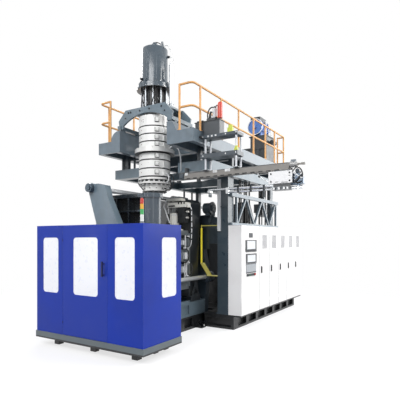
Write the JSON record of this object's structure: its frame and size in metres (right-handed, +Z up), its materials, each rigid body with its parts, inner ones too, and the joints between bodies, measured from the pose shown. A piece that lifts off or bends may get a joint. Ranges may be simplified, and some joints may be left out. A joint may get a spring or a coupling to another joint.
{
  "type": "blow moulding machine",
  "caption": "Accumulator-head extrusion blow moulding machine for drums: overhead extruder and die head, sliding mould clamp, take-out arm, guard cabin and control cabinets.",
  "frame": {"origin": "on the floor at the centre of the clamp base's four anchor holes, under the axis of the die head and in the mould's parting plane", "axes": "+X across the machine to the take-out and cabinet side, +Y back along the extruder away from the guard cabin, +Z up"},
  "size_m": [4.46, 6.867, 5.965],
  "materials": {
    "black_paint": "semi-gloss black",
    "grey_paint": "satin blue-grey",
    "dark_paint": "satin dark slate",
    "chrome_bar": "ground and plated",
    "mould_alloy": "machined",
    "white_parts": "satin white",
    "rail_yellow": "gloss orange-yellow",
    "head_steel": "bright sheet and turned steel",
    "tool_steel": "turned",
    "ram_paint": "gloss grey",
    "motor_blue": "gloss blue",
    "bottle_red": "gloss red",
    "cabin_blue": "satin blue",
    "window_white": "frosted white sheet",
    "lamp_plastic": "red, amber, green and white lenses",
    "cabinet_white": "satin white",
    "panel_dark": "dark screens and keys",
    "signal_yellow": "gloss yellow",
    "button_red": "gloss red",
    "button_green": "gloss green"
  },
  "bodies": {
    "machine_frame": {"clamp_base": "black_paint", "clamp_bed": "grey_paint", "front_tail_plate": "grey_paint", "rear_tail_plate": "dark_paint", "tie_bars": "chrome_bar", "clamp_cylinders": "dark_paint", "rear_base": "black_paint", "columns": "dark_paint", "trusses": "grey_paint", "ring_frame": "grey_paint", "frame_posts": "grey_paint", "platform": "grey_paint", "handrails": "rail_yellow", "head_yoke": "grey_paint", "head_upper": "head_steel", "head_flange": "head_steel", "head_lower": "head_steel", "heater_bands": "head_steel", "die_bush": "head_steel", "die_pin": "tool_steel", "ram_cage": "tool_steel", "ram_cylinder": "ram_paint", "extruder_barrel": "head_steel", "barrel_heaters": "head_steel", "gearbox": "dark_paint", "drive_motor": "motor_blue", "takeout_beam": "mould_alloy", "hanger_frame": "dark_paint", "valve_unit": "dark_paint", "gas_bottle": "bottle_red", "cabin_panels": "cabin_blue", "cabin_windows": "window_white", "cabin_frame": "black_paint", "stack_light": "lamp_plastic", "control_cabinets": "cabinet_white", "control_panel": "panel_dark", "light_curtain": "signal_yellow"},
    "front_clamp": {"front_platen": "dark_paint", "front_mould": "mould_alloy", "front_ram": "chrome_bar"},
    "rear_clamp": {"rear_platen": "dark_paint", "rear_mould": "mould_alloy", "rear_ram": "chrome_bar", "mould_top_unit": "white_parts"},
    "blow_pin": {"blow_pin": "chrome_bar"},
    "piston_rod": {"piston_rod": "chrome_bar"},
    "extruder_screw": {"extruder_screw": "tool_steel"},
    "takeout_carriage": {"takeout_carriage": "white_parts", "takeout_arm": "chrome_bar"},
    "gripper_left": {"gripper_left": "tool_steel"},
    "gripper_right": {"gripper_right": "tool_steel"},
    "cabin_door": {"cabin_door": "cabin_blue", "door_window": "window_white"},
    "cabinet_door_1": {"cabinet_door_1": "cabinet_white"},
    "cabinet_door_2": {"cabinet_door_2": "cabinet_white"},
    "cabinet_door_3": {"cabinet_door_3": "cabinet_white"},
    "cabinet_door_4": {"cabinet_door_4": "cabinet_white"},
    "cabinet_door_5": {"cabinet_door_5": "cabinet_white"},
    "emergency_stop": {"emergency_stop": "button_red"},
    "start_button": {"start_button": "button_green"}
  },
  "joints": [
    {"name": "front_clamp_slide", "type": "slide", "parent": "machine_frame", "child": "front_clamp", "axis": [0, 1, 0], "range_m": [0, 0.2995]},
    {"name": "rear_clamp_slide", "type": "slide", "parent": "machine_frame", "child": "rear_clamp", "axis": [0, -1, 0], "range_m": [0, 0.2995]},
    {"name": "blow_pin_slide", "type": "slide", "parent": "machine_frame", "child": "blow_pin", "axis": [0, 0, 1], "range_m": [0, 0.13]},
    {"name": "piston_slide", "type": "slide", "parent": "machine_frame", "child": "piston_rod", "axis": [0, 0, 1], "range_m": [0, 0.18]},
    {"name": "screw_spin", "type": "hinge", "parent": "machine_frame", "child": "extruder_screw", "pos_m": [0, 2.2, 4.2], "axis": [0, 1, 0], "continuous": true},
    {"name": "carriage_slide", "type": "slide", "parent": "machine_frame", "child": "takeout_carriage", "axis": [-1, 0, 0], "range_m": [0, 1.6]},
    {"name": "gripper_left_slide", "type": "slide", "parent": "takeout_carriage", "child": "gripper_left", "axis": [0, -1, 0], "range_m": [0, 0.014]},
    {"name": "gripper_right_slide", "type": "slide", "parent": "takeout_carriage", "child": "gripper_right", "axis": [0, 1, 0], "range_m": [0, 0.014]},
    {"name": "cabin_door_hinge", "type": "hinge", "parent": "machine_frame", "child": "cabin_door", "pos_m": [-0.55, -1.865, 1.2], "axis": [0, 0, -1], "range_deg": [0, 100]},
    {"name": "cabinet_hinge_1", "type": "hinge", "parent": "machine_frame", "child": "cabinet_door_1", "pos_m": [1.48, 2.54, 1.26], "axis": [0, 0, 1], "range_deg": [0, 90]},
    {"name": "cabinet_hinge_2", "type": "hinge", "parent": "machine_frame", "child": "cabinet_door_2", "pos_m": [1.48, 3.139, 1.26], "axis": [0, 0, 1], "range_deg": [0, 90]},
    {"name": "cabinet_hinge_3", "type": "hinge", "parent": "machine_frame", "child": "cabinet_door_3", "pos_m": [1.48, 3.738, 1.26], "axis": [0, 0, 1], "range_deg": [0, 90]},
    {"name": "cabinet_hinge_4", "type": "hinge", "parent": "machine_frame", "child": "cabinet_door_4", "pos_m": [1.48, 4.337, 1.26], "axis": [0, 0, 1], "range_deg": [0, 90]},
    {"name": "cabinet_hinge_5", "type": "hinge", "parent": "machine_frame", "child": "cabinet_door_5", "pos_m": [1.48, 4.936, 1.26], "axis": [0, 0, 1], "range_deg": [0, 90]},
    {"name": "emergency_stop_push", "type": "slide", "parent": "machine_frame", "child": "emergency_stop", "axis": [-1, 0, 0], "range_m": [0, 0.0045], "stiffness_N_per_m": 900},
    {"name": "start_button_push", "type": "slide", "parent": "machine_frame", "child": "start_button", "axis": [-1, 0, 0], "range_m": [0, 0.0045], "stiffness_N_per_m": 500}
  ],
  "couplings": [
    {"joint": "rear_clamp_slide", "follows": "front_clamp_slide", "ratio": 1},
    {"joint": "gripper_right_slide", "follows": "gripper_left_slide", "ratio": 1}
  ]
}
